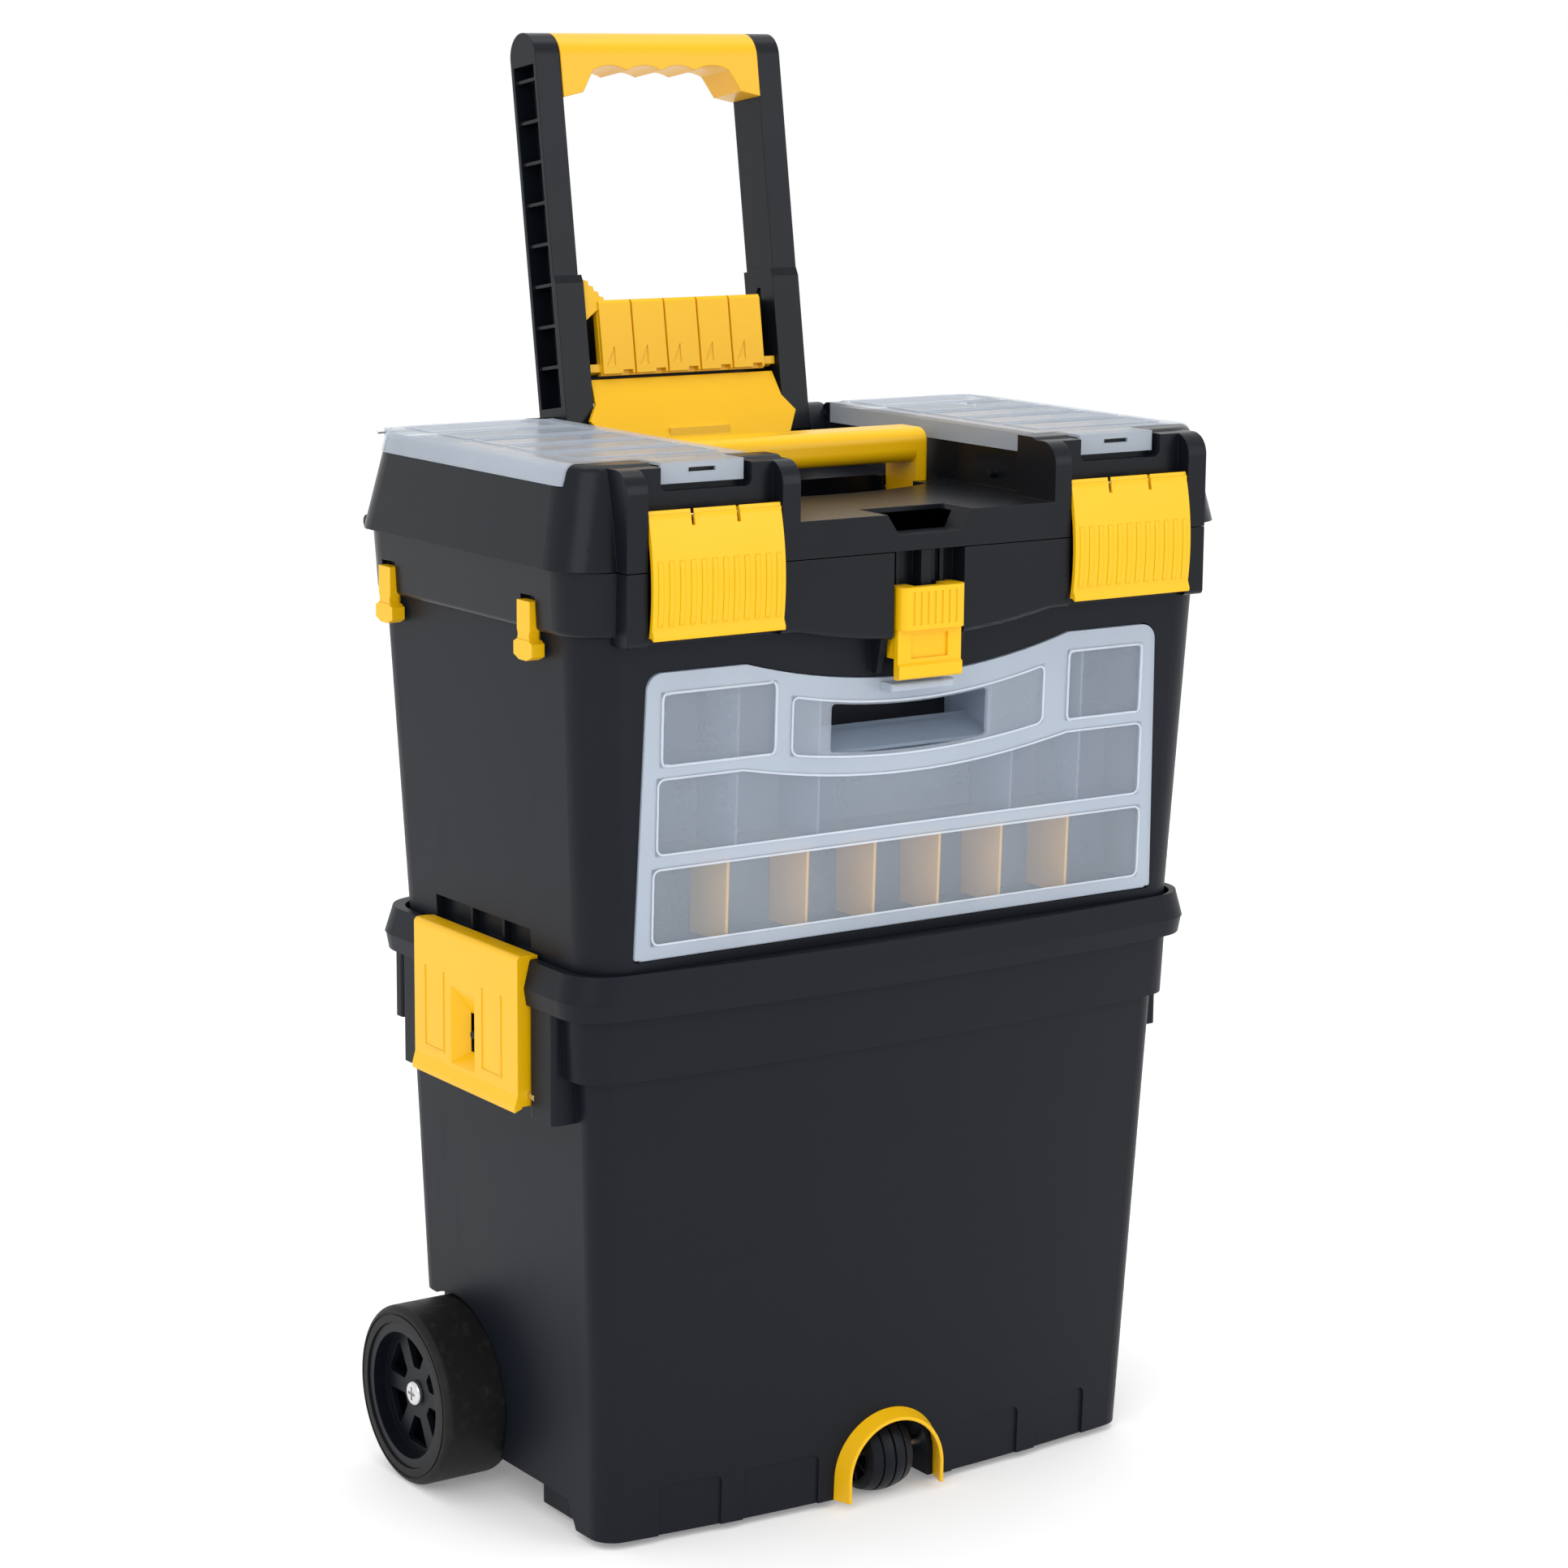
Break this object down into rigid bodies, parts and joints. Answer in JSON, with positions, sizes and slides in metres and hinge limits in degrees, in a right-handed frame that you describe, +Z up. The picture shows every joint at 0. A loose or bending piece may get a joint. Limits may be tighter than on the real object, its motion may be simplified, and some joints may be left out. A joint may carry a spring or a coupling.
{
  "type": "rolling tool box",
  "caption": "Rolling tool box: wheeled bin with a lift-off upper box, pull-out clear organizer, small-parts bays in the lid and a folding tow handle.",
  "frame": {"origin": "on the floor, at the middle of the whole box", "axes": "+Z up, +Y towards the back (tow handle), +X to the right seen from the front"},
  "size_m": [0.4712, 0.3274, 0.8702],
  "materials": {
    "black": "fine satin, moulded polypropylene",
    "wheel_black": "satin",
    "tyre": "dull, hard polymer tread",
    "yellow": "semi-gloss, moulded",
    "grip_yellow": "semi-gloss, slightly soft",
    "tan": "satin",
    "clear": "frosted, translucent",
    "steel": "bright zinc"
  },
  "bodies": {
    "bin": {"lower_bin": "black", "caster_hood": "yellow", "caster_axle": "steel", "wheel_screws": "steel", "side_latch_pins": "steel"},
    "wheel_left": {"wheel_tyre_left": "tyre", "wheel_hub_left": "wheel_black"},
    "wheel_right": {"wheel_tyre_right": "tyre", "wheel_hub_right": "wheel_black"},
    "caster": {"caster_roller": "wheel_black"},
    "side_latch_left": {"side_latch_left": "yellow"},
    "side_latch_right": {"side_latch_right": "yellow"},
    "upper_box": {"box_body": "black", "box_collar": "black", "side_clips": "yellow", "lid_hinge_pins": "steel"},
    "organizer": {"organizer_case": "clear", "organizer_dividers": "tan"},
    "organizer_front": {"organizer_lid": "clear"},
    "case_latch": {"case_latch": "yellow"},
    "lid": {"lid_shell": "black", "bay_dividers": "yellow", "front_latch_pins": "steel", "clear_lid_pins": "steel", "tow_pivots": "steel"},
    "front_latch_left": {"front_latch_left": "yellow"},
    "front_latch_right": {"front_latch_right": "yellow"},
    "clear_lid_left": {"clear_lid_left": "clear"},
    "clear_lid_right": {"clear_lid_right": "clear"},
    "carry_handle": {"carry_handle": "yellow"},
    "tow_handle": {"tow_frame": "black", "tow_grip": "grip_yellow", "brace_plate": "yellow", "flap_pin": "steel"},
    "release_flap": {"release_flap": "yellow"}
  },
  "joints": [
    {"name": "wheel_left_spin", "type": "hinge", "parent": "bin", "child": "wheel_left", "pos_m": [0, 0.05032, 0.0552], "axis": [1, 0, 0], "continuous": true},
    {"name": "wheel_right_spin", "type": "hinge", "parent": "bin", "child": "wheel_right", "pos_m": [0, 0.05032, 0.0552], "axis": [1, 0, 0], "continuous": true},
    {"name": "caster_spin", "type": "hinge", "parent": "bin", "child": "caster", "pos_m": [0, -0.11368, 0.024], "axis": [1, 0, 0], "continuous": true},
    {"name": "side_latch_left_open", "type": "hinge", "parent": "bin", "child": "side_latch_left", "pos_m": [-0.219, -0.01668, 0.272], "axis": [0, -1, 0], "range_deg": [0, 100]},
    {"name": "side_latch_right_open", "type": "hinge", "parent": "bin", "child": "side_latch_right", "pos_m": [0.219, -0.01668, 0.272], "axis": [0, 1, 0], "range_deg": [0, 100]},
    {"name": "box_lift_off", "type": "slide", "parent": "bin", "child": "upper_box", "axis": [0, 0, 1], "range_m": [0, 0.12]},
    {"name": "organizer_pull", "type": "slide", "parent": "upper_box", "child": "organizer", "axis": [0, -1, 0], "range_m": [0, 0.12]},
    {"name": "organizer_open", "type": "hinge", "parent": "organizer", "child": "organizer_front", "pos_m": [0, -0.1354, 0.3592], "axis": [1, 0, 0], "range_deg": [0, 90]},
    {"name": "case_latch_lift", "type": "slide", "parent": "upper_box", "child": "case_latch", "axis": [0, 0, 1], "range_m": [0, 0.015]},
    {"name": "lid_open", "type": "hinge", "parent": "upper_box", "child": "lid", "pos_m": [0, 0.11482, 0.5823], "axis": [-1, 0, 0], "range_deg": [0, 95]},
    {"name": "front_latch_left_open", "type": "hinge", "parent": "lid", "child": "front_latch_left", "pos_m": [0, -0.15318, 0.6115], "axis": [-1, 0, 0], "range_deg": [0, 110]},
    {"name": "front_latch_right_open", "type": "hinge", "parent": "lid", "child": "front_latch_right", "pos_m": [0, -0.15318, 0.6115], "axis": [-1, 0, 0], "range_deg": [0, 110]},
    {"name": "clear_lid_left_open", "type": "hinge", "parent": "lid", "child": "clear_lid_left", "pos_m": [0, 0.09992, 0.6374], "axis": [-1, 0, 0], "range_deg": [0, 100]},
    {"name": "clear_lid_right_open", "type": "hinge", "parent": "lid", "child": "clear_lid_right", "pos_m": [0, 0.09992, 0.6374], "axis": [-1, 0, 0], "range_deg": [0, 100]},
    {"name": "tow_fold", "type": "hinge", "parent": "lid", "child": "tow_handle", "pos_m": [0, 0.11132, 0.622], "axis": [1, 0, 0], "range_deg": [0, 98.9]},
    {"name": "carry_lower", "type": "slide", "parent": "lid", "child": "carry_handle", "axis": [0, 0, -1], "range_m": [0, 0.03]},
    {"name": "flap_push", "type": "hinge", "parent": "tow_handle", "child": "release_flap", "pos_m": [0, 0.1127, 0.66632], "axis": [-1, 0, 0], "range_deg": [0, 8], "stiffness_Nm_per_rad": 0.6}
  ],
  "couplings": [
    {"joint": "carry_lower", "follows": "tow_fold", "m_per_rad": 0.0173}
  ]
}
